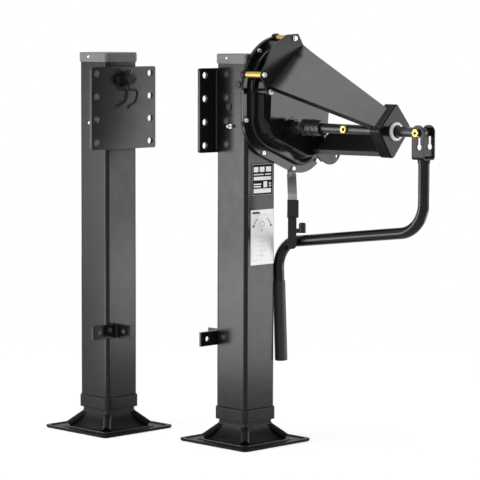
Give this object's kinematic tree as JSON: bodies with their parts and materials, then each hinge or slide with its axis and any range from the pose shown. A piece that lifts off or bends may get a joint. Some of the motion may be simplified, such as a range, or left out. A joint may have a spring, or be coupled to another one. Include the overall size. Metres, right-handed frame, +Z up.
{
  "type": "semi trailer landing gear",
  "caption": "Telescopic trailer support legs with mounting plates and shoes, a side gearbox with a crank bracket, and a folding hand crank that lowers the legs by screws.",
  "frame": {"origin": "on the floor at the middle of the geared leg shoe", "axes": "+Z up, +X along the drive shafts towards the crank, +Y across the legs, away from the strut ears"},
  "size_m": [1.074, 0.494, 1.057],
  "materials": {
    "black_fittings": "black coating",
    "black_paint": "semi-gloss black coating",
    "bright_steel": "plain steel",
    "bronze": "turned bronze",
    "bush_plastic": "pale nylon, matt",
    "cap_steel": "grey coating, satin",
    "clip_rubber": "moulded, matt",
    "dark_steel": "blackened steel",
    "gasket_rubber": "matt",
    "grip_plastic": "matt moulded",
    "machined_steel": "machined and oiled",
    "yellow_zinc": "yellow passivated zinc, satin",
    "zinc_bolts": "bright zinc"
  },
  "bodies": {
    "root": {"bearing_flanges": "black_paint", "bracket_bolts": "zinc_bolts", "bracket_tip": "black_paint", "crank_bracket": "black_paint", "flange_bolts": "black_fittings", "gearbox_back_plate": "black_paint", "gearbox_cover": "black_paint", "gearbox_gasket": "gasket_rubber", "gearbox_screws": "zinc_bolts", "geared_bottom_collar": "black_paint", "geared_bulkhead": "machined_steel", "geared_mounting_plate": "black_paint", "geared_strut_bracket": "black_paint", "geared_top_cap": "cap_steel", "geared_upper_tube": "black_paint", "grease_nipples": "bright_steel", "holder_clip": "clip_rubber", "holder_strap": "black_paint", "idler_pin": "machined_steel", "shaft_bushes": "bronze", "side_plugs": "black_fittings", "slave_bottom_collar": "black_paint", "slave_bulkhead": "machined_steel", "slave_mounting_plate": "black_paint", "slave_strut_bracket": "black_paint", "slave_top_cap": "cap_steel", "slave_upper_tube": "black_paint", "standoff_sleeves": "yellow_zinc", "thrust_bearings": "machined_steel", "tip_bush": "bush_plastic"},
    "geared_shaft": {"geared_output_shaft": "machined_steel", "geared_bevel_pinion": "machined_steel", "output_gear": "machined_steel"},
    "geared_screw": {"geared_lift_screw": "machined_steel", "geared_bevel_gear": "machined_steel"},
    "geared_leg": {"geared_lower_tube": "black_paint", "geared_foot_plate": "black_paint", "geared_foot_hood": "black_paint", "geared_lift_nut": "bronze"},
    "idler": {"idler_gears": "machined_steel"},
    "slave_shaft": {"slave_output_shaft": "machined_steel", "slave_bevel_pinion": "machined_steel", "slave_hook_pin": "bright_steel"},
    "slave_screw": {"slave_lift_screw": "machined_steel", "slave_bevel_gear": "machined_steel"},
    "slave_leg": {"slave_lower_tube": "black_paint", "slave_foot_plate": "black_paint", "slave_foot_hood": "black_paint", "slave_lift_nut": "bronze"},
    "crank_hub": {"input_sleeve": "dark_steel"},
    "crank_drive": {"input_shaft": "machined_steel", "input_pinion": "machined_steel", "shaft_coupling": "dark_steel", "crank_shaft": "dark_steel", "shaft_cross_bolts": "yellow_zinc", "pivot_bolt": "yellow_zinc"},
    "crank_arm": {"crank_clevis": "black_paint", "crank_tube": "black_paint"},
    "grip": {"crank_grip": "grip_plastic"}
  },
  "joints": [
    {"name": "geared_output_turn", "type": "hinge", "parent": "root", "child": "geared_shaft", "pos_m": [0, 0, 0.935], "axis": [1, 0, 0], "range_deg": [0, 29150]},
    {"name": "geared_screw_turn", "type": "hinge", "parent": "root", "child": "geared_screw", "pos_m": [0, 0, 0.6], "axis": [0, 0, 1], "range_deg": [0, 15549]},
    {"name": "geared_leg_slide", "type": "slide", "parent": "root", "child": "geared_leg", "axis": [0, 0, -1], "range_m": [0, 0.4318]},
    {"name": "idler_turn", "type": "hinge", "parent": "root", "child": "idler", "pos_m": [0.075, 0.05888, 0.91258], "axis": [1, 0, 0], "range_deg": [-58300, 0]},
    {"name": "slave_output_turn", "type": "hinge", "parent": "root", "child": "slave_shaft", "pos_m": [-0.394, -0.123, 0.935], "axis": [1, 0, 0], "range_deg": [0, 29150]},
    {"name": "slave_screw_turn", "type": "hinge", "parent": "root", "child": "slave_screw", "pos_m": [-0.394, -0.123, 0.6], "axis": [0, 0, 1], "range_deg": [0, 15549]},
    {"name": "slave_leg_slide", "type": "slide", "parent": "root", "child": "slave_leg", "axis": [0, 0, -1], "range_m": [0, 0.4318]},
    {"name": "crank_spin", "type": "hinge", "parent": "root", "child": "crank_hub", "pos_m": [0.11, 0.072, 0.819], "axis": [1, 0, 0], "range_deg": [0, 270]},
    {"name": "gear_shift", "type": "slide", "parent": "crank_hub", "child": "crank_drive", "axis": [1, 0, 0], "range_m": [-0.0085, 0]},
    {"name": "crank_fold", "type": "hinge", "parent": "crank_drive", "child": "crank_arm", "pos_m": [0.535, 0.072, 0.819], "axis": [0, -1, 0], "range_deg": [0, 86]},
    {"name": "grip_turn", "type": "hinge", "parent": "crank_arm", "child": "grip", "pos_m": [0.06, 0.072, 0.213], "axis": [0.046, 0, -0.9989], "continuous": true}
  ],
  "couplings": [
    {"joint": "geared_output_turn", "follows": "geared_leg_slide", "rad_per_m": 1178.1},
    {"joint": "geared_screw_turn", "follows": "geared_leg_slide", "rad_per_m": 628.32},
    {"joint": "slave_output_turn", "follows": "slave_leg_slide", "rad_per_m": 1178.1},
    {"joint": "slave_screw_turn", "follows": "slave_leg_slide", "rad_per_m": 628.32},
    {"joint": "idler_turn", "follows": "geared_leg_slide", "rad_per_m": -2356.2}
  ]
}
